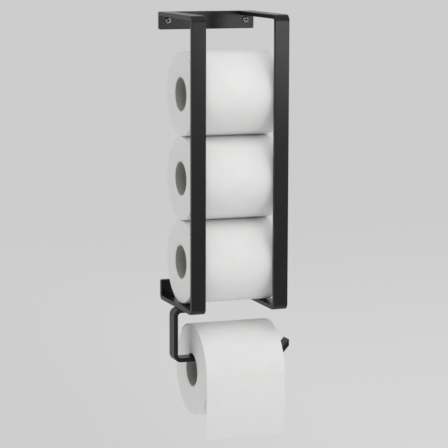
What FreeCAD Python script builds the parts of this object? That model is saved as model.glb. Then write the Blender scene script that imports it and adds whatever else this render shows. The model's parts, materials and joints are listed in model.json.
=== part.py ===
import FreeCAD, Part
import math
import os

# Wall holder for toilet rolls, bent from flat bar, with three stored rolls and one roll in use.
# Millimetres, +Z up, +Y into the wall, +X to the right. The origin is midway between the two
# wall screws, on the back face of the wall plate.

# Flat bar
bar_width = 17.5
bar_thickness = 5.0
bar_edge_radius = 0.5
bar_bend_radius = 2.5

# Holder frame
holder_width = 119.0
holder_depth = 120.0
holder_height = 344.0
plate_height = 21.0
plate_corner_radius = 1.5
lip_height = 24.0
lip_wall_gap = 5.0
lip_bend_radius = 1.0
lip_corner_radius = 2.0

# Roll arm
arm_wall_distance = 66.0
arm_overhang = 5.8
arm_drop = 59.0
arm_length = 145.6
arm_bend_radius = 4.0
arm_tip_height = 18.1
arm_tip_angle = 48.0
arm_tip_bend_radius = 3.0

# Wall screws
screw_spacing = 98.0
screw_shank_radius = 2.0
screw_neck_radius = 1.6
screw_hole_clearance = 0.25
screw_depth_in_wall = 20.0
screw_point_length = 4.0
screw_head_radius = 3.75
screw_head_height = 2.4
screw_head_rim = 0.9
recess_length = 4.0
recess_width = 1.0
recess_depth = 1.3

# Rolls
stored_roll_length = 109.0
stored_roll_radius = 49.1
stored_roll_clearance = 0.7
hanging_roll_length = 97.5
hanging_roll_radius = 54.4
roll_edge_radius = 2.0
core_inner_radius = 19.0
core_wall = 1.0
core_recess = 1.0
resting_gap = 0.3

# Loose end of the paper
sheet_thickness = 0.5
sheet_gap = 0.3
sheet_drop = 72.0
sheet_wrap_angle = 130.0

# Places worked out from the sizes
cut_overrun = bar_thickness
left_side = -holder_width / 2
plate_top = plate_height / 2
strap_bottom = plate_top - holder_height
arm_underside = strap_bottom - bar_thickness - arm_drop
arm_left = left_side - arm_overhang
stored_roll_y = -(holder_depth - bar_thickness - stored_roll_radius - stored_roll_clearance)
stored_roll_left = -stored_roll_length / 2
lowest_roll_z = strap_bottom + bar_thickness + stored_roll_radius + resting_gap
stored_roll_step = 2 * stored_roll_radius + resting_gap
stored_roll_count = int((holder_height - 2 * bar_thickness) // stored_roll_step)
hanging_roll_left = arm_left + (arm_length - hanging_roll_length) / 2
core_outer_radius = core_inner_radius + core_wall


def hanging_roll_height():
    """Height of the roll's axis when its tube hangs on the two rounded upper edges of the arm."""
    reach = core_inner_radius - resting_gap - bar_edge_radius
    half_width = bar_width / 2 - bar_edge_radius
    arm_top = arm_underside + bar_thickness
    return arm_top - bar_edge_radius - math.sqrt(reach ** 2 - half_width ** 2)


def bent_bar_face(corners, bend_radii, place):
    """Side view of a bar bent always the same way, from the corners of its outer side."""
    steps = [(b - a).normalize() for a, b in zip(corners, corners[1:])]
    turn = 1 if steps[0].cross(steps[1]).z > 0 else -1
    inward = [FreeCAD.Vector(-s.y, s.x, 0) * turn for s in steps]
    outer = [corners[0]]
    inner = [corners[0] + inward[0] * bar_thickness]
    for i, bend_radius in enumerate(bend_radii):
        outer_radius = bend_radius + bar_thickness
        corner = corners[i + 1]
        spread = 1 + inward[i].dot(inward[i + 1])
        centre = corner + (inward[i] + inward[i + 1]) * (outer_radius / spread)
        to_corner = (corner - centre).normalize()
        for points, radius in ((outer, outer_radius), (inner, bend_radius)):
            points.append(centre - inward[i] * radius)
            points.append(centre + to_corner * radius)
            points.append(centre - inward[i + 1] * radius)
    outer.append(corners[-1])
    inner.append(corners[-1] + inward[-1] * bar_thickness)

    edges = []
    for points in (outer, inner):
        spots = [place(p) for p in points]
        edges.append(Part.makeLine(spots[0], spots[1]))
        for i in range(1, len(spots) - 1, 3):
            edges.append(Part.Arc(spots[i], spots[i + 1], spots[i + 2]).toShape())
            edges.append(Part.makeLine(spots[i + 2], spots[i + 3]))
    edges.append(Part.makeLine(place(outer[0]), place(inner[0])))
    edges.append(Part.makeLine(place(outer[-1]), place(inner[-1])))
    return Part.Face(Part.Wire(Part.sortEdges(edges)[0]))


def edges_at(shape, test):
    """Edges of a shape whose two end points both pass a test."""
    return [e for e in shape.Edges if all(test(v.Point) for v in e.Vertexes)]


def close(a, b):
    return abs(a - b) < Part.Precision.approximation()


def make_strap(side_x):
    """Strap whose outer side lies at the given end of the wall plate."""
    rear_y = -bar_thickness
    lip_y = -lip_wall_gap
    lip_top = strap_bottom + lip_height
    corners = [
        FreeCAD.Vector(rear_y, plate_top, 0),
        FreeCAD.Vector(-holder_depth, plate_top, 0),
        FreeCAD.Vector(-holder_depth, strap_bottom, 0),
        FreeCAD.Vector(lip_y, strap_bottom, 0),
        FreeCAD.Vector(lip_y, lip_top, 0),
    ]
    inner_x = side_x - math.copysign(bar_width, side_x)
    radii = [bar_bend_radius, bar_bend_radius, lip_bend_radius]
    side = bent_bar_face(corners, radii, lambda p: FreeCAD.Vector(side_x, p.x, p.y))
    strap = side.extrude(FreeCAD.Vector(inner_x - side_x, 0, 0))

    lip_edges = edges_at(strap, lambda p: close(p.z, lip_top))
    lip_ends = [e for e in lip_edges if close(e.Length, bar_thickness)]
    strap = strap.makeFillet(lip_corner_radius, lip_ends)

    def on_long_side(x):
        return lambda p: close(p.x, x)

    long_edges = edges_at(strap, on_long_side(side_x)) + edges_at(strap, on_long_side(inner_x))
    welded = edges_at(strap, lambda p: close(p.y, rear_y))
    rounded = [e for e in long_edges if not any(e.isSame(w) for w in welded)]
    return strap.makeFillet(bar_edge_radius, rounded)


def make_roll_arm():
    """Arm below the holder, from its welded top run to its tip, which slants up and is cut off upright."""
    run_end = left_side + bar_width
    arm_right = arm_left + arm_length
    tip_slope = math.tan(math.radians(arm_tip_angle))
    tip_cut_height = bar_thickness / math.cos(math.radians(arm_tip_angle))
    tip_bend_x = arm_right - (arm_tip_height - tip_cut_height) / tip_slope
    uncut_x = arm_right + cut_overrun
    uncut_z = arm_underside + (uncut_x - tip_bend_x) * tip_slope
    corners = [
        FreeCAD.Vector(run_end, strap_bottom, 0),
        FreeCAD.Vector(arm_left, strap_bottom, 0),
        FreeCAD.Vector(arm_left, arm_underside, 0),
        FreeCAD.Vector(tip_bend_x, arm_underside, 0),
        FreeCAD.Vector(uncut_x, uncut_z, 0),
    ]
    front_y = -arm_wall_distance - bar_width / 2
    back_y = front_y + bar_width
    radii = [arm_bend_radius, arm_bend_radius, arm_tip_bend_radius]
    side = bent_bar_face(corners, radii, lambda p: FreeCAD.Vector(p.x, front_y, p.y))
    arm = side.extrude(FreeCAD.Vector(0, bar_width, 0))
    past_tip = FreeCAD.Vector(arm_right, front_y - cut_overrun, arm_underside)
    arm = arm.cut(Part.makeBox(arm_length, bar_width + 2 * cut_overrun, arm_length, past_tip))

    front_edges = edges_at(arm, lambda p: close(p.y, front_y))
    back_edges = edges_at(arm, lambda p: close(p.y, back_y))
    return arm.makeFillet(bar_edge_radius, front_edges + back_edges)


def screw_places():
    return [FreeCAD.Vector(x, 0, 0) for x in (-screw_spacing / 2, screw_spacing / 2)]


def make_wall_plate():
    """Flat plate with softened corners and front edges and a hole for each screw."""
    corner = FreeCAD.Vector(left_side, -bar_thickness, -plate_height / 2)
    plate = Part.makeBox(holder_width, bar_thickness, plate_height, corner)
    across = [e for e in plate.Edges if close(e.Length, bar_thickness)]
    plate = plate.makeFillet(plate_corner_radius, across)
    plate = plate.makeFillet(bar_edge_radius, edges_at(plate, lambda p: close(p.y, -bar_thickness)))
    hole_radius = screw_shank_radius + screw_hole_clearance
    for place in screw_places():
        start = place - FreeCAD.Vector(0, bar_thickness + cut_overrun, 0)
        hole_length = bar_thickness + 2 * cut_overrun
        plate = plate.cut(Part.makeCylinder(hole_radius, hole_length, start, FreeCAD.Vector(0, 1, 0)))
    return plate


def make_screw(place):
    """Pan-head screw with a cross recess: head on the plate, neck through it, shank in the wall."""
    seat_y = -bar_thickness
    crown_y = seat_y - screw_head_height
    rim_y = seat_y - screw_head_rim
    point_y = screw_depth_in_wall
    taper_y = point_y - screw_point_length

    def spot(radius, y):
        return FreeCAD.Vector(radius, y, 0)

    dome_height = screw_head_height - screw_head_rim
    dome_radius = (screw_head_radius ** 2 + dome_height ** 2) / (2 * dome_height)
    half_chord = screw_head_radius / 2
    dome_drop = dome_radius - math.sqrt(dome_radius ** 2 - half_chord ** 2)
    dome_middle = spot(half_chord, crown_y + dome_drop)
    outline = [
        spot(0, point_y),
        spot(screw_shank_radius, taper_y),
        spot(screw_shank_radius, 0),
        spot(screw_neck_radius, 0),
        spot(screw_neck_radius, seat_y),
        spot(screw_head_radius, seat_y),
        spot(screw_head_radius, rim_y),
    ]
    edges = [Part.makeLine(a, b) for a, b in zip(outline, outline[1:])]
    edges.append(Part.Arc(outline[-1], dome_middle, spot(0, crown_y)).toShape())
    edges.append(Part.makeLine(spot(0, crown_y), outline[0]))
    half = Part.Face(Part.Wire(edges))
    screw = half.revolve(FreeCAD.Vector(0, 0, 0), FreeCAD.Vector(0, 1, 0), 360)
    for size_x, size_z in ((recess_length, recess_width), (recess_width, recess_length)):
        corner = FreeCAD.Vector(-size_x / 2, crown_y - cut_overrun, -size_z / 2)
        screw = screw.cut(Part.makeBox(size_x, cut_overrun + recess_depth, size_z, corner))
    screw.translate(place)
    return screw


def make_wall_screws():
    return Part.makeCompound([make_screw(place) for place in screw_places()])


def make_tube(outer_radius, inner_radius, length, start):
    along = FreeCAD.Vector(1, 0, 0)
    overrun = along * cut_overrun
    bore = Part.makeCylinder(inner_radius, length + 2 * cut_overrun, start - overrun, along)
    return Part.makeCylinder(outer_radius, length, start, along).cut(bore)


def make_roll_paper(radius, length, start):
    """Wound paper with soft outer edges."""
    paper = make_tube(radius, core_outer_radius, length, start)
    rims = [e for e in paper.Edges if isinstance(e.Curve, Part.Circle) and close(e.Curve.Radius, radius)]
    return paper.makeFillet(roll_edge_radius, rims)


def make_roll_core(length, start):
    """Cardboard tube, a little shorter than the paper at both ends."""
    inset = FreeCAD.Vector(core_recess, 0, 0)
    return make_tube(core_outer_radius, core_inner_radius, length - 2 * core_recess, start + inset)


def make_hanging_sheet():
    """Loose end of the paper, over the top of the roll in use and down its front."""
    axis_y = -arm_wall_distance
    axis_z = hanging_roll_height()
    start_x = hanging_roll_left

    def on_roll(radius, angle):
        turn = math.radians(angle)
        return FreeCAD.Vector(start_x, axis_y - radius * math.cos(turn), axis_z + radius * math.sin(turn))

    inner = hanging_roll_radius + sheet_gap
    outer = inner + sheet_thickness
    drop = FreeCAD.Vector(0, 0, -sheet_drop)
    edges = []
    for radius in (inner, outer):
        front = on_roll(radius, 0)
        middle = on_roll(radius, sheet_wrap_angle / 2)
        back = on_roll(radius, sheet_wrap_angle)
        edges.append(Part.Arc(front, middle, back).toShape())
        edges.append(Part.makeLine(front, front + drop))
    edges.append(Part.makeLine(on_roll(inner, sheet_wrap_angle), on_roll(outer, sheet_wrap_angle)))
    edges.append(Part.makeLine(on_roll(inner, 0) + drop, on_roll(outer, 0) + drop))
    side = Part.Face(Part.Wire(Part.sortEdges(edges)[0]))
    return side.extrude(FreeCAD.Vector(hanging_roll_length, 0, 0))


def build():
    """All pieces by name."""
    pieces = {
        "wall_plate": make_wall_plate(),
        "left_strap": make_strap(left_side),
        "right_strap": make_strap(-left_side),
        "roll_arm": make_roll_arm(),
        "wall_screws": make_wall_screws(),
        "hanging_sheet": make_hanging_sheet(),
    }
    for number in range(1, stored_roll_count + 1):
        height = lowest_roll_z + (stored_roll_count - number) * stored_roll_step
        start = FreeCAD.Vector(stored_roll_left, stored_roll_y, height)
        pieces[f"stored_roll_{number}_paper"] = make_roll_paper(stored_roll_radius, stored_roll_length, start)
        pieces[f"stored_roll_{number}_core"] = make_roll_core(stored_roll_length, start)
    start = FreeCAD.Vector(hanging_roll_left, -arm_wall_distance, hanging_roll_height())
    pieces["hanging_roll_paper"] = make_roll_paper(hanging_roll_radius, hanging_roll_length, start)
    pieces["hanging_roll_core"] = make_roll_core(hanging_roll_length, start)
    return pieces


os.makedirs("parts", exist_ok=True)
for name, shape in build().items():
    shape.exportStep(f"parts/{name}.step")
    box = shape.BoundBox
    print(f"{name}: {len(shape.Solids)} solid(s), valid {shape.isValid()}, volume {shape.Volume:.0f} mm3,"
          f" x {box.XMin:.1f} to {box.XMax:.1f}, y {box.YMin:.1f} to {box.YMax:.1f},"
          f" z {box.ZMin:.1f} to {box.ZMax:.1f}")
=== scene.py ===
import json
import math
import random

import bmesh
import bpy
from mathutils import Matrix, Vector


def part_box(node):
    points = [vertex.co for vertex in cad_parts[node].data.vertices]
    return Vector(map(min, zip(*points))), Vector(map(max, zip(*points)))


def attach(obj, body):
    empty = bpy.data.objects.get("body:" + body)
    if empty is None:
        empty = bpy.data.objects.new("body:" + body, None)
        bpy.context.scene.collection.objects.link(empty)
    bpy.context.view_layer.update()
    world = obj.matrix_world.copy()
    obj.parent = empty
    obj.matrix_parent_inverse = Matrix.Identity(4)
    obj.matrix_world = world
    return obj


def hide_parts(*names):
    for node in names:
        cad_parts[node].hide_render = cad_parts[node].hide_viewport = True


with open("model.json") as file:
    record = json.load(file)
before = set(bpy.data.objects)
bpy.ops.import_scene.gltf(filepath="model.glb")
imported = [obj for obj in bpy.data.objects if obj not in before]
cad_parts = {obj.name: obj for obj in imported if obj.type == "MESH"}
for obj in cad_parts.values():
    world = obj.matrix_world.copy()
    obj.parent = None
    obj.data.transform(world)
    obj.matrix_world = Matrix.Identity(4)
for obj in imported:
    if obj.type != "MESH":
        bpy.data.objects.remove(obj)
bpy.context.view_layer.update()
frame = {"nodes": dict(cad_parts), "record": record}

# Lengths are in metres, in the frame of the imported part.
millimetre = 0.001

# Camera of the photograph, in the part's frame
image_pixels = 448
sensor_width = 36.0
focal_pixels = 1997.227
camera_place = Vector((-0.8054, -2.2503, 0.1147))
camera_yaw = math.radians(20.237)
camera_pitch = math.radians(8.585)
camera_roll = math.radians(0.154)

# Wound paper
rim_points = 192
rim_radius = 1.8 * millimetre
rim_segments = 5
side_cuts = 24
layer_step = 0.65 * millimetre
layer_relief = 0.25 * millimetre
end_dish = 0.7 * millimetre
dish_width = 8.0 * millimetre
paper_softness = 0.2 * millimetre
dent_size = 55 * millimetre
first_roll_seed = 11

# Tissue
paper_shade = (0.845, 0.845, 0.838)
paper_white = (0.875, 0.875, 0.868)
paper_depth = 6.0 * millimetre
paper_glow = 0.5
paper_glow_radius = (1.0, 1.0, 0.95)
paper_roughness = (0.86, 1.0)
paper_shine = 0.2
paper_sheen = 0.08
paper_sheen_roughness = 0.6
paper_bump = 0.16
paper_bump_height = 0.25 * millimetre
fibre_scale = 900.0
mottle_scale = 70.0
crepe_along_axis = 260.0
crepe_around = 150.0
crepe_through_layers = 2200.0
sheet_crepe_scale = (260.0, 2400.0, 2400.0)

# Cardboard tube
tube_points = 128
tube_cuts = 12
tube_wall = 1.0 * millimetre
tube_edge = 0.25 * millimetre
tube_edge_segments = 2
tube_edge_slope = math.radians(60)
card_dark = (0.29, 0.29, 0.262)
card_light = (0.47, 0.47, 0.432)
card_roughness = (0.8, 0.95)
card_shine = 0.25
card_bump = 0.25
card_bump_height = 0.2 * millimetre
card_fibre_scale = 420.0
card_speck_scale = 1400.0
seam_pitch = 85 * millimetre
seam_half_width = 0.006
seam_darkening = 0.25

# Loose end of the paper
sheet_columns = 66
sheet_rows = 48
sheet_wrap_steps = 72
sheet_wrap = math.radians(118)
sheet_end_steps = 10
sheet_end_angle = math.radians(16)
sheet_end_radius = 40 * millimetre
sheet_thickness = 0.35 * millimetre
sheet_wave = 0.9 * millimetre
sheet_wave_size = 42 * millimetre
tear_depth = 0.5 * millimetre
tear_seed = 7
# Painted shade: share of the tissue colour left at the torn bottom edge of the loose sheet
free_end_painted_shade = 0.945

# Wall screws
screw_points = 48
neck_radius = 1.6 * millimetre
head_dome = 1.4 * millimetre
dome_segments = 7
crown_depth = 0.1 * millimetre
recess_length = 5.2 * millimetre
recess_width = 1.8 * millimetre
recess_depth = 1.7 * millimetre
recess_taper = 0.55
recess_overrun = 0.5 * millimetre
# Colour of the painted shade deep inside the cross recesses of the screw heads
recess_painted_shade = (0.012, 0.012, 0.012)
recess_shade_reach = 0.52 * recess_length
recess_shade_start = 0.35 * millimetre
point_length = 4.0 * millimetre
point_width_share = 0.04
thread_height = 0.5 * millimetre
thread_stand_out = 0.2 * thread_height
thread_step = 1.5 * millimetre
thread_turns = 10
thread_sides = 20
thread_merge = 0.01 * millimetre
left_screw_turn = math.radians(24)
right_screw_turn = math.radians(-11)
zinc_dark = (0.24, 0.24, 0.235)
zinc_light = (0.33, 0.33, 0.325)
zinc_roughness = (0.26, 0.42)
zinc_bump = 0.05
zinc_bump_height = 0.05 * millimetre
zinc_cloud_scale = 700.0
zinc_streak_scale = (400.0, 4000.0, 400.0)

# Powder coat on the bars
coat_black = (0.0055, 0.0055, 0.0058)
coat_grey = (0.0080, 0.0080, 0.0083)
coat_roughness = (0.26, 0.34)
coat_shine = 0.28
coat_bump = 0.10
coat_bump_height = 0.15 * millimetre
coat_cloud_scale = 45.0
coat_grain_scale = 1500.0
coat_flow_scale = 420.0

# Smallest slope between two faces that still shows as an edge, in degrees
paper_crease = 40
screw_crease = 35

# Studio
floor_height = -1.25
floor_size = 90.0
floor_colour = (0.80, 0.80, 0.80)
floor_roughness = 0.9
floor_shine = 0.1
near_glow = 0.06
near_glow_from_y = 2.0
near_glow_to_y = 6.5
near_glow_from_x = 0.5
near_glow_to_x = 1.5
far_glow = 0.07
world_light = 0.67
backdrop_tone = 0.605

# Each lamp's name, place, size and power in watts
lamps = (
    ("right_softbox", (0.34, -0.85, -0.03), 0.16, 0.74),
    ("upper_softbox", (-0.05, -0.72, 0.77), 0.6, 2.5),
    ("left_softbox", (-1.10, -0.60, 0.05), 0.45, 0.35),
    ("far_right_softbox", (1.00, -0.70, 0.60), 0.6, 1.2),
    ("lower_fill", (0.10, -0.48, -1.15), 0.8, 1.1),
)


def deselect_all():
    if bpy.context.object and bpy.context.object.mode != "OBJECT":
        bpy.ops.object.mode_set(mode="OBJECT")
    bpy.ops.object.select_all(action="DESELECT")


def place_new(piece_name):
    """Names the object that an operator has just added and puts its place into its mesh."""
    piece = bpy.context.object
    piece.name = piece_name
    piece.data.name = piece_name
    bpy.ops.object.transform_apply(location=True, rotation=True, scale=True)
    return piece


def pick(piece, kind, test):
    """In edit mode, selects only the verts, edges or faces that pass a test."""
    modes = {"verts": "VERT", "edges": "EDGE", "faces": "FACE"}
    bpy.ops.mesh.select_mode(type=modes[kind])
    bpy.ops.mesh.select_all(action="DESELECT")
    shape = bmesh.from_edit_mesh(piece.data)
    for element in getattr(shape, kind):
        if test(element):
            element.select_set(True)
    shape.select_flush_mode()
    bmesh.update_edit_mesh(piece.data)


def face_outwards():
    """In edit mode, turns all faces of the piece outwards."""
    bpy.ops.mesh.select_all(action="SELECT")
    bpy.ops.mesh.normals_make_consistent(inside=False)


def apply_modifier(piece, kind, **settings):
    modifier = piece.modifiers.new(kind.lower(), kind)
    for key, value in settings.items():
        setattr(modifier, key, value)
    bpy.context.view_layer.objects.active = piece
    bpy.ops.object.modifier_apply(modifier=modifier.name)


def soft_noise(name, size):
    texture = bpy.data.textures.new(name, "CLOUDS")
    texture.noise_scale = size
    texture.noise_depth = 1
    return texture


def take(piece):
    """Selects one piece alone and makes it the active one."""
    deselect_all()
    piece.select_set(True)
    bpy.context.view_layer.objects.active = piece


def smooth(piece, degrees):
    take(piece)
    bpy.ops.object.shade_smooth_by_angle(angle=math.radians(degrees))


def set_material(piece, material):
    piece.data.materials.clear()
    piece.data.materials.append(material)


def middle_of(node):
    low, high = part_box(node)
    return (low + high) / 2


def screw_distance():
    """From the middle of the plate to the axis of a screw: half the pair's width less a head's."""
    low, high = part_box("wall_screws")
    return (high.x - low.x - (high.z - low.z)) / 2


class Nodes:
    """Short hand for the node tree of one material. An input named i0 or i1 is a socket by number."""

    def __init__(self, name):
        self.material = bpy.data.materials.new(name)
        self.material.use_nodes = True
        self.tree = self.material.node_tree
        self.shader = self.tree.nodes["Principled BSDF"]

    def add(self, kind, settings=None, **inputs):
        node = self.tree.nodes.new("ShaderNode" + kind)
        for key, value in (settings or {}).items():
            setattr(node, key, value)
        for key, value in inputs.items():
            self.feed(node, key.replace("_", " "), value)
        return node

    def feed(self, node, socket, value):
        target = node.inputs[int(socket[1:])] if socket[1:].isdigit() else node.inputs[socket]
        if isinstance(value, bpy.types.NodeSocket):
            self.tree.links.new(value, target)
        else:
            target.default_value = value

    def math(self, operation, a, b=0.0):
        return self.add("Math", {"operation": operation}, i0=a, i1=b).outputs[0]

    def object_place(self):
        return self.add("TexCoord").outputs["Object"]

    def noise(self, place, scale, detail=2.0, roughness=0.5):
        node = self.add("TexNoise", Vector=place, Scale=scale, Detail=detail, Roughness=roughness)
        return node.outputs["Fac"]

    def scaled(self, place, scale):
        return self.add("Mapping", Vector=place, Scale=scale).outputs[0]

    def centred(self, centre):
        """Place on the piece, counted from the middle of a roll."""
        return self.add("Mapping", Vector=self.object_place(), Location=-centre).outputs[0]

    def times(self, a, b):
        return self.math("MULTIPLY", a, b)

    def blend(self, first, first_share, second, second_share):
        return self.math("ADD", self.times(first, first_share), self.times(second, second_share))

    def length(self, a, b):
        """Length of the slanting side over two sides at a right angle."""
        return self.math("SQRT", self.math("ADD", self.times(a, a), self.times(b, b)))

    def ramp(self, value, low, high, start=0.3, end=0.7):
        """Colour or grey between two colours while the value goes from start to end."""
        node = self.add("ValToRGB", Fac=value)
        node.color_ramp.elements[0].position = start
        node.color_ramp.elements[0].color = (*low, 1)
        node.color_ramp.elements[1].position = end
        node.color_ramp.elements[1].color = (*high, 1)
        return node.outputs["Color"]

    def spread(self, value, span):
        low, high = span
        return self.add("MapRange", Value=value, To_Min=low, To_Max=high).outputs["Result"]

    def bump(self, height, strength, distance):
        return self.add("Bump", Height=height, Strength=strength, Distance=distance).outputs["Normal"]

    def finish(self, **sockets):
        for key, value in sockets.items():
            self.feed(self.shader, key.replace("_", " "), value)
        return self.material


def powder_coat():
    """Matt black powder coat with its fine pebbled grain."""
    n = Nodes("black_powder_coat")
    place = n.object_place()
    cloud = n.noise(place, coat_cloud_scale, 3.0)
    grain = n.noise(place, coat_grain_scale)
    flow = n.noise(place, coat_flow_scale, 1.0)
    height = n.math("ADD", grain, n.times(flow, 0.6))
    return n.finish(Base_Color=n.ramp(cloud, coat_black, coat_grey),
                    Roughness=n.spread(flow, coat_roughness), Specular_IOR_Level=coat_shine,
                    Normal=n.bump(height, coat_bump, coat_bump_height))


def zinc():
    """Zinc plating on the screws, with painted shade that darkens the inside of their recesses."""
    n = Nodes("zinc_plate")
    place = n.object_place()
    cloud = n.noise(place, zinc_cloud_scale, 3.0)
    streak = n.noise(n.scaled(place, zinc_streak_scale), 1.0)
    plating = n.ramp(cloud, zinc_dark, zinc_light)
    x, y, z = n.add("SeparateXYZ", Vector=place).outputs
    # Painted shade: a mask of the recess, below the head's crown and in front of the plate, turns the
    # plating near-black there
    from_axis = n.length(n.math("SUBTRACT", n.math("ABSOLUTE", x), screw_distance()), z)
    in_head = n.math("LESS_THAN", from_axis, recess_shade_reach)
    sunk = n.math("GREATER_THAN", y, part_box("wall_screws")[0].y + recess_shade_start)
    above_plate = n.math("LESS_THAN", y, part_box("wall_plate")[0].y)
    shade = n.times(in_head, n.times(sunk, above_plate))
    colour = n.add("MixRGB", Fac=shade, Color1=plating, Color2=(*recess_painted_shade, 1)).outputs[0]
    return n.finish(Base_Color=colour, Metallic=1.0, Roughness=n.spread(streak, zinc_roughness),
                    Normal=n.bump(streak, zinc_bump, zinc_bump_height))


def paper_grain(n, place):
    """Fibres of the tissue, and its slightly mottled white."""
    fibre = n.noise(place, fibre_scale, 4.0, 0.6)
    mottle = n.noise(place, mottle_scale, 3.0)
    return fibre, n.ramp(n.blend(mottle, 0.6, fibre, 0.4), paper_shade, paper_white)


def paper_finish(n, colour, fibre, crepe, glow):
    """Light goes a few millimetres into wound paper and comes back out, but not in a single sheet."""
    height = n.blend(crepe, 0.7, fibre, 0.5)
    return n.finish(Base_Color=colour, Roughness=n.spread(fibre, paper_roughness),
                    Specular_IOR_Level=paper_shine, Subsurface_Weight=glow,
                    Subsurface_Radius=paper_glow_radius, Subsurface_Scale=paper_depth,
                    Sheen_Weight=paper_sheen, Sheen_Roughness=paper_sheen_roughness,
                    Normal=n.bump(height, paper_bump, paper_bump_height))


def tissue(name, centre):
    """Soft white tissue on a roll, with its crepe running around the roll."""
    n = Nodes(name)
    place = n.centred(centre)
    along, y, z = n.add("SeparateXYZ", Vector=place).outputs
    fibre, colour = paper_grain(n, place)
    around = n.add("CombineXYZ", X=n.times(along, crepe_along_axis),
                   Y=n.times(n.math("ARCTAN2", y, z), crepe_around),
                   Z=n.times(n.length(y, z), crepe_through_layers)).outputs[0]
    return paper_finish(n, colour, fibre, n.noise(around, 1.0), paper_glow)


def sheet_tissue():
    """The same tissue on the loose end, with painted shade that makes it a little greyer toward its
    free end, for light that passes through the thin sheet.
    """
    n = Nodes("sheet_tissue")
    place = n.object_place()
    fibre, covered = paper_grain(n, place)
    height = n.add("SeparateXYZ", Vector=place).outputs["Z"]
    # Painted shade: the colour is multiplied down from the roll's axis height to the sheet's bottom
    # edge
    free = n.add("MapRange", Value=height, From_Min=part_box("hanging_sheet")[0].z,
                 From_Max=middle_of("hanging_roll_paper").z, To_Min=free_end_painted_shade, To_Max=1.0)
    colour = n.add("MixRGB", {"blend_type": "MULTIPLY"}, Fac=1.0, Color1=covered,
                   Color2=free.outputs["Result"]).outputs[0]
    return paper_finish(n, colour, fibre, n.noise(n.scaled(place, sheet_crepe_scale), 1.0), 0.0)


def core_card(name, centre):
    """Grey card with its fibres and the spiral seam of the tube."""
    n = Nodes(name)
    place = n.centred(centre)
    along, y, z = n.add("SeparateXYZ", Vector=place).outputs
    turns = n.times(n.math("ARCTAN2", y, z), 1 / math.tau)
    spiral = n.math("FRACT", n.math("ADD", n.times(along, 1 / seam_pitch), turns))
    from_seam = n.math("ABSOLUTE", n.math("SUBTRACT", spiral, 0.5))
    seam = n.math("LESS_THAN", from_seam, seam_half_width)
    fibre = n.noise(place, card_fibre_scale, 5.0, 0.65)
    speck = n.noise(place, card_speck_scale)
    tone = n.math("SUBTRACT", n.blend(fibre, 0.7, speck, 0.3), n.times(seam, seam_darkening))
    return n.finish(Base_Color=n.ramp(tone, card_dark, card_light, 0.25, 0.75),
                    Roughness=n.spread(fibre, card_roughness), Specular_IOR_Level=card_shine,
                    Normal=n.bump(n.math("SUBTRACT", fibre, seam), card_bump, card_bump_height))


def wind_end(piece, end_x, outward, radius, hole_radius, chance):
    """Turns one flat end of a roll into the edges of its wound layers, around an open hole."""
    def on_end(face):
        return face.normal.x * outward > 0.99 and abs(face.calc_center_median().x - end_x) < rim_radius

    pick(piece, "faces", on_end)
    wound = radius - rim_radius - hole_radius
    layers = int(wound / layer_step)
    step = wound / layers
    level = 0.0
    for layer in range(layers):
        from_tube = wound - (layer + 1) * step
        dish = end_dish * max(0.0, 1 - from_tube / dish_width) ** 2
        target = -chance.random() * layer_relief - dish
        bpy.ops.mesh.inset(thickness=step, depth=target - level)
        level = target
    bpy.ops.mesh.delete(type="FACE")


def wound_paper(name, node, core_node, seed):
    """A roll of paper with soft rims, layered ends and a slightly uneven surface."""
    low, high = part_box(node)
    core_low, core_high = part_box(core_node)
    centre = middle_of(node)
    radius = (high.z - low.z) / 2
    hole_radius = (core_high.z - core_low.z) / 2
    chance = random.Random(seed)

    def on_side(vert):
        return abs(math.hypot(vert.co.y - centre.y, vert.co.z - centre.z) - radius) < millimetre

    deselect_all()
    bpy.ops.mesh.primitive_cylinder_add(vertices=rim_points, radius=radius, depth=high.x - low.x,
                                        location=centre, rotation=(0, math.pi / 2, 0))
    piece = place_new(name)
    bpy.ops.object.mode_set(mode="EDIT")
    pick(piece, "edges", lambda e: abs(e.verts[0].co.x - e.verts[1].co.x) < millimetre)
    bpy.ops.mesh.bevel(offset=rim_radius, segments=rim_segments, affect="EDGES")
    pick(piece, "edges", lambda e: abs(e.verts[0].co.x - e.verts[1].co.x) > rim_radius * 2)
    bpy.ops.mesh.subdivide(number_cuts=side_cuts)
    wind_end(piece, low.x, -1, radius, hole_radius, chance)
    wind_end(piece, high.x, 1, radius, hole_radius, chance)
    pick(piece, "edges", lambda e: e.is_boundary)
    bpy.ops.mesh.bridge_edge_loops()
    pick(piece, "verts", on_side)
    bpy.ops.object.vertex_group_assign_new()
    face_outwards()
    bpy.ops.object.mode_set(mode="OBJECT")
    dents = soft_noise(name + "_dents", dent_size)
    apply_modifier(piece, "DISPLACE", texture=dents, vertex_group="Group", texture_coords="LOCAL",
                   strength=-paper_softness, mid_level=0.0)
    smooth(piece, paper_crease)
    return piece


def card_tube(name, node):
    """A cardboard tube with a real wall and softened ends."""
    low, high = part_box(node)
    deselect_all()
    bpy.ops.mesh.primitive_cylinder_add(vertices=tube_points, radius=(high.z - low.z) / 2,
                                        depth=high.x - low.x, location=middle_of(node),
                                        rotation=(0, math.pi / 2, 0))
    piece = place_new(name)
    bpy.ops.object.mode_set(mode="EDIT")
    pick(piece, "faces", lambda f: abs(f.normal.x) > 0.9)
    bpy.ops.mesh.delete(type="FACE")
    pick(piece, "edges", lambda e: not e.is_boundary)
    bpy.ops.mesh.subdivide(number_cuts=tube_cuts)
    bpy.ops.object.mode_set(mode="OBJECT")
    apply_modifier(piece, "SOLIDIFY", thickness=tube_wall, offset=-1.0)
    apply_modifier(piece, "BEVEL", width=tube_edge, segments=tube_edge_segments, limit_method="ANGLE",
                   angle_limit=tube_edge_slope)
    smooth(piece, paper_crease)
    return piece


def sheet_front():
    """Where the loose end hangs in front of the roll, along Y."""
    return (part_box("hanging_sheet")[0].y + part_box("hanging_roll_paper")[0].y) / 2


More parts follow.
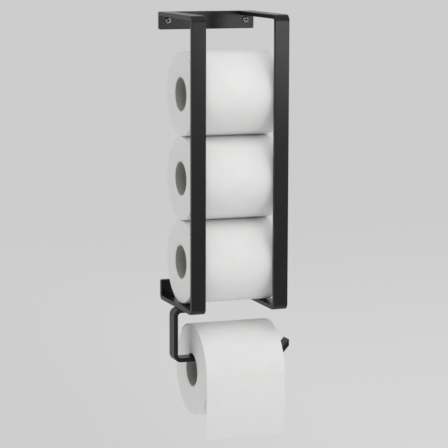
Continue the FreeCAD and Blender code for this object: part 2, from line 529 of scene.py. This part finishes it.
def loose_sheet(name):
    """The loose end of the paper: over the roll, down its front, to a torn edge."""
    low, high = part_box("hanging_sheet")
    centre = middle_of("hanging_roll_paper")
    front_y = sheet_front()
    drop = centre.z - low.z
    deselect_all()
    bpy.ops.mesh.primitive_grid_add(x_subdivisions=sheet_columns, y_subdivisions=sheet_rows, size=1,
                                    location=(centre.x, front_y, centre.z - drop / 2),
                                    rotation=(math.pi / 2, 0, 0))
    bpy.context.object.scale = (high.x - low.x, drop, 1)
    piece = place_new(name)
    bpy.ops.object.mode_set(mode="EDIT")
    pick(piece, "verts", lambda v: v.co.z < low.z + tear_depth)
    bpy.ops.transform.vertex_random(offset=tear_depth, uniform=0.0, normal=0.0, seed=tear_seed)
    pick(piece, "edges", lambda e: min(v.co.z for v in e.verts) > centre.z - tear_depth)
    bpy.ops.mesh.spin(steps=sheet_wrap_steps, angle=sheet_wrap, center=centre, axis=(1, 0, 0))
    outward = Vector((0, -math.cos(sheet_wrap), math.sin(sheet_wrap)))
    end_centre = centre + outward * (centre.y - front_y - sheet_end_radius)
    bpy.ops.mesh.spin(steps=sheet_end_steps, angle=sheet_end_angle, center=end_centre, axis=(1, 0, 0))
    face_outwards()
    bpy.ops.object.mode_set(mode="OBJECT")
    hanging = piece.vertex_groups.new(name="hanging")
    for vertex in piece.data.vertices:
        below = max(0.0, centre.z - vertex.co.z) / drop
        hanging.add([vertex.index], below ** 1.5, "REPLACE")
    waves = soft_noise("sheet_waves", sheet_wave_size)
    apply_modifier(piece, "DISPLACE", texture=waves, vertex_group="hanging", texture_coords="LOCAL",
                   direction="Y", strength=sheet_wave, mid_level=0.5)
    apply_modifier(piece, "SOLIDIFY", thickness=sheet_thickness, offset=0.0)
    smooth(piece, paper_crease)
    return piece


def extrude(step, widen=1.0):
    """Draws the selected face out along the screw's axis and makes it wider or narrower."""
    bpy.ops.mesh.extrude_region_move(TRANSFORM_OT_translate={"value": (0, step, 0)})
    bpy.ops.transform.resize(value=(widen, 1, widen), center_override=(0, 0, 0))


def recess_bar(long_side, wide_side, top):
    """One tapered bar of the tool that cuts the cross recess."""
    deselect_all()
    bpy.ops.mesh.primitive_cube_add(size=1, location=(0, top + (recess_depth - recess_overrun) / 2, 0))
    bpy.context.object.scale = (long_side, recess_depth + recess_overrun, wide_side)
    bar = place_new("recess_bar")
    bpy.ops.object.mode_set(mode="EDIT")
    pick(bar, "faces", lambda f: f.normal.y > 0.9)
    bpy.ops.transform.resize(value=(recess_taper, 1, recess_taper), center_override=(0, 0, 0))
    bpy.ops.object.mode_set(mode="OBJECT")
    return bar


def screw_thread(root_radius, start):
    """A ridge that winds along the shank and runs out to nothing at both ends."""
    deselect_all()
    bpy.ops.mesh.primitive_circle_add(vertices=3, radius=thread_height, fill_type="NOTHING",
                                      location=(root_radius + thread_stand_out, start, 0),
                                      rotation=(0, 0, -math.pi / 2))
    thread = place_new("screw_thread")
    apply_modifier(thread, "SCREW", axis="Y", screw_offset=thread_step, iterations=thread_turns,
                   steps=thread_sides, render_steps=thread_sides)
    bpy.ops.object.mode_set(mode="EDIT")
    bpy.ops.mesh.select_all(action="SELECT")
    bpy.ops.mesh.remove_doubles(threshold=thread_merge)
    pick(thread, "edges", lambda e: e.is_boundary)
    bpy.ops.mesh.merge(type="COLLAPSE")
    face_outwards()
    bpy.ops.object.mode_set(mode="OBJECT")
    return thread


def pan_head_screw(name):
    """A wood screw at the plate's middle: point, thread, neck, and a domed head with a cross recess."""
    low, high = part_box("wall_screws")
    plate_low, plate_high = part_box("wall_plate")
    head_radius = (high.z - low.z) / 2
    shank_radius = frame["record"]["mounts"][0]["dims"]["stud_r_mm"] * millimetre
    root_radius = shank_radius - thread_height
    shank_length = high.y - point_length - plate_high.y
    deselect_all()
    bpy.ops.mesh.primitive_cylinder_add(vertices=screw_points, radius=root_radius, depth=shank_length,
                                        location=(0, plate_high.y + shank_length / 2, 0),
                                        rotation=(math.pi / 2, 0, 0))
    screw = place_new(name)
    bpy.ops.object.mode_set(mode="EDIT")
    pick(screw, "faces", lambda f: f.normal.y > 0.9)
    extrude(point_length, point_width_share)
    pick(screw, "faces", lambda f: f.normal.y < -0.9)
    extrude(0.0, neck_radius / root_radius)
    extrude(plate_low.y - plate_high.y)
    extrude(0.0, head_radius / neck_radius)
    extrude(low.y - plate_low.y)
    pick(screw, "edges", lambda e: all(v.co.y < low.y + crown_depth for v in e.verts))
    bpy.ops.mesh.bevel(offset=head_dome, segments=dome_segments, affect="EDGES")
    face_outwards()
    bpy.ops.object.mode_set(mode="OBJECT")
    for long_side, wide_side in ((recess_length, recess_width), (recess_width, recess_length)):
        bar = recess_bar(long_side, wide_side, low.y)
        apply_modifier(screw, "BOOLEAN", operation="DIFFERENCE", solver="EXACT", object=bar)
        bpy.data.objects.remove(bar)
    thread = screw_thread(root_radius, plate_high.y + thread_step)
    take(screw)
    thread.select_set(True)
    bpy.ops.object.join()
    return screw


def set_screw(screw, x, turn):
    """Turns a screw about its axis and moves it to its hole, in its mesh."""
    take(screw)
    bpy.ops.object.mode_set(mode="EDIT")
    bpy.ops.mesh.select_all(action="SELECT")
    bpy.ops.transform.rotate(value=turn, orient_axis="Y", center_override=(0, 0, 0))
    bpy.ops.transform.translate(value=(x, 0, 0))
    bpy.ops.object.mode_set(mode="OBJECT")


def build_screws():
    reach = screw_distance()
    left = pan_head_screw("pan_head_screws")
    right = left.copy()
    right.data = left.data.copy()
    bpy.context.scene.collection.objects.link(right)
    set_screw(left, -reach, left_screw_turn)
    set_screw(right, reach, right_screw_turn)
    take(left)
    right.select_set(True)
    bpy.ops.object.join()
    smooth(left, screw_crease)
    set_material(left, zinc())
    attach(left, "holder")
    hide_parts("wall_screws")


def build_rolls():
    rolls = ("stored_roll_1", "stored_roll_2", "stored_roll_3", "hanging_roll")
    for seed, roll in enumerate(rolls, first_roll_seed):
        paper_node = roll + "_paper"
        core_node = roll + "_core"
        centre = middle_of(paper_node)
        paper = wound_paper(roll + "_wound_paper", paper_node, core_node, seed)
        set_material(paper, tissue(roll + "_tissue", centre))
        core = card_tube(roll + "_card_tube", core_node)
        set_material(core, core_card(roll + "_card", centre))
        for piece, node, slot in ((paper, paper_node, "tissue"), (core, core_node, "core_card")):
            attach(piece, roll)
            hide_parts(node)


def build_sheet():
    sheet = loose_sheet("loose_paper_end")
    set_material(sheet, sheet_tissue())
    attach(sheet, "loose_sheet")
    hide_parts("hanging_sheet")


def paint_bars():
    coat = powder_coat()
    for node in ("wall_plate", "left_strap", "right_strap", "roll_arm"):
        set_material(frame["nodes"][node], coat)


def studio_floor():
    """Pale floor, seen as bright as the photograph's backdrop, and brighter close by on the right."""
    deselect_all()
    bpy.ops.mesh.primitive_plane_add(size=floor_size, location=(0, 0, floor_height))
    floor = place_new("studio_floor")
    n = Nodes("pale_floor")
    x, y, z = n.add("SeparateXYZ", Vector=n.object_place()).outputs
    soft = {"interpolation_type": "SMOOTHSTEP"}
    near = n.add("MapRange", soft, Value=y, From_Min=near_glow_from_y, From_Max=near_glow_to_y,
                 To_Min=near_glow, To_Max=0.0).outputs["Result"]
    side = n.add("MapRange", soft, Value=x, From_Min=near_glow_from_x,
                 From_Max=near_glow_to_x).outputs["Result"]
    glow = n.math("ADD", n.times(near, side), far_glow)
    rays = n.add("LightPath").outputs
    mirrored = n.math("MAXIMUM", rays["Is Glossy Ray"], rays["Is Transmission Ray"])
    shown = n.math("MAXIMUM", rays["Is Camera Ray"], mirrored)
    finish = n.finish(Base_Color=(*floor_colour, 1), Roughness=floor_roughness,
                      Specular_IOR_Level=floor_shine, Emission_Color=(1, 1, 1, 1),
                      Emission_Strength=n.times(glow, shown))
    set_material(floor, finish)


def studio_world():
    """Even light from all around. The camera sees it as bright as the far floor."""
    world = bpy.data.worlds.new("studio")
    bpy.context.scene.world = world
    world.use_nodes = True
    tree = world.node_tree
    sky = tree.nodes["Background"]
    sky.inputs["Color"].default_value = (world_light, world_light, world_light, 1)
    seen = tree.nodes.new("ShaderNodeBackground")
    seen.inputs["Color"].default_value = (backdrop_tone, backdrop_tone, backdrop_tone, 1)
    rays = tree.nodes.new("ShaderNodeLightPath")
    mix = tree.nodes.new("ShaderNodeMixShader")
    tree.links.new(rays.outputs["Is Camera Ray"], mix.inputs["Fac"])
    tree.links.new(sky.outputs[0], mix.inputs[1])
    tree.links.new(seen.outputs[0], mix.inputs[2])
    tree.links.new(mix.outputs[0], tree.nodes["World Output"].inputs["Surface"])


def add_lamp(name, place, size, power):
    """A softbox that faces the middle stored roll."""
    target = middle_of("stored_roll_2_paper")
    lamp = bpy.data.lights.new(name, "AREA")
    lamp.size = size
    lamp.energy = power
    holder = bpy.data.objects.new(name, lamp)
    holder.location = place
    holder.rotation_euler = (target - Vector(place)).to_track_quat("-Z", "Y").to_euler()
    holder.visible_camera = False
    bpy.context.scene.collection.objects.link(holder)


def build_studio():
    studio_floor()
    studio_world()
    for lamp in lamps:
        add_lamp(*lamp)


def build_camera():
    flat = math.cos(camera_pitch)
    ahead = Vector((math.sin(camera_yaw) * flat, math.cos(camera_yaw) * flat, -math.sin(camera_pitch)))
    level = Vector((math.cos(camera_yaw), -math.sin(camera_yaw), 0))
    upward = level.cross(ahead)
    right = level * math.cos(camera_roll) + upward * math.sin(camera_roll)
    up = upward * math.cos(camera_roll) - level * math.sin(camera_roll)
    lens = bpy.data.cameras.new("photo_camera")
    lens.sensor_width = sensor_width
    lens.lens = focal_pixels * sensor_width / image_pixels
    camera = bpy.data.objects.new("photo_camera", lens)
    turn = Matrix((right, up, -ahead)).transposed()
    camera.matrix_world = Matrix.Translation(camera_place) @ turn.to_4x4()
    bpy.context.scene.collection.objects.link(camera)
    bpy.context.scene.camera = camera


paint_bars()
build_screws()
build_rolls()
build_sheet()
build_studio()
build_camera()
bpy.context.scene.view_settings.view_transform = "Standard"
